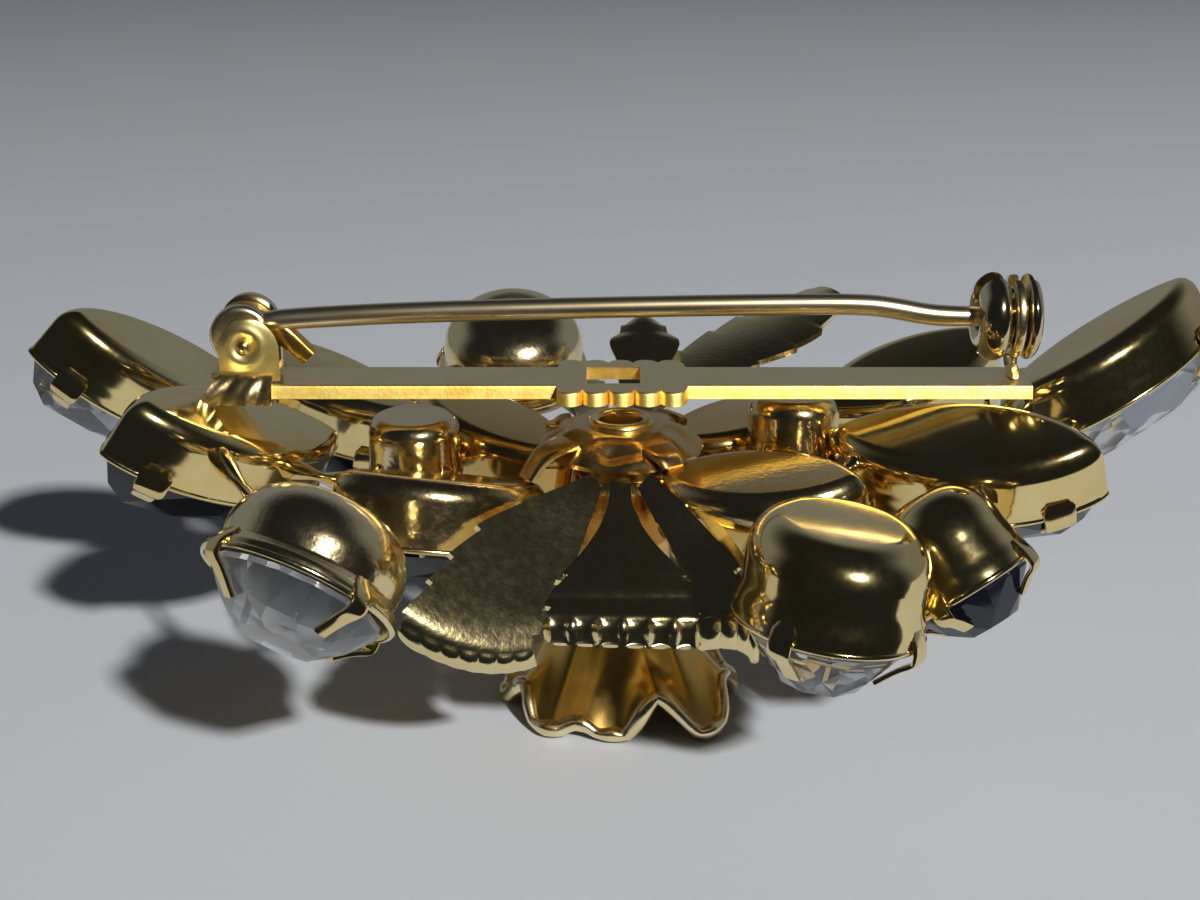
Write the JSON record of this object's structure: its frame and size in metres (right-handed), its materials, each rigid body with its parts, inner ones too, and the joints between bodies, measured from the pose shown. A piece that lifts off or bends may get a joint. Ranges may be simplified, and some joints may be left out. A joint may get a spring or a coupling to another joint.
{
  "type": "flower brooch",
  "caption": "Layered costume brooch of prong-set glass stones and stamped leaves round a ruffled flower, with a hinged pin and roller catch on the back.",
  "frame": {"origin": "on the surface that the brooch lies on, face down, under the centre rivet", "axes": "+Z out of the back, +X from the hinge to the catch, +Y to the far side of the picture"},
  "size_m": [0.0659, 0.0407, 0.0238],
  "materials": {
    "cup_metal": "pale gold plate, bright, slightly worn",
    "leaf_metal": "pale gold plate over stamped ribs",
    "flower_metal": "gold plate, amber inside",
    "bar_metal": "pale gold plate, fine scratches",
    "finding_metal": "bright pale gold plate",
    "pin_wire": "polished wire, thin gold plate",
    "clear_glass": "clear cut glass with a foiled back",
    "black_glass": "black cut glass, glossy"
  },
  "bodies": {
    "root": {"setting_frame": "cup_metal", "stone_far_left": "clear_glass", "stone_left": "black_glass", "stone_front_left": "clear_glass", "stone_inner_left": "black_glass", "stone_front_right": "clear_glass", "stone_dark_right": "black_glass", "stone_right": "black_glass", "stone_far_right": "clear_glass", "stone_inner_right": "black_glass", "stone_back_middle": "clear_glass", "stone_back_left": "black_glass", "stone_back_right": "black_glass", "stone_inner_back_left": "black_glass", "stone_inner_back_right": "black_glass", "stone_little_left": "clear_glass", "stone_little_right": "clear_glass", "leaf_plate": "leaf_metal", "flower": "flower_metal", "centre_rivet": "finding_metal", "pin_bar": "bar_metal", "hinge_bracket": "finding_metal", "hinge_rivet": "finding_metal", "catch_post": "finding_metal"},
    "pin_stem": {"pin_stem": "pin_wire"},
    "catch_roller": {"catch_roller": "finding_metal"}
  },
  "joints": [
    {"name": "pin_hinge", "type": "hinge", "parent": "root", "child": "pin_stem", "pos_m": [-0.0195, 0, 0.02065], "axis": [0, -1, 0], "range_deg": [0, 110]},
    {"name": "catch_turn", "type": "hinge", "parent": "root", "child": "catch_roller", "pos_m": [0.0201, 0, 0.02165], "axis": [1, 0, 0], "range_deg": [0, 100]}
  ]
}
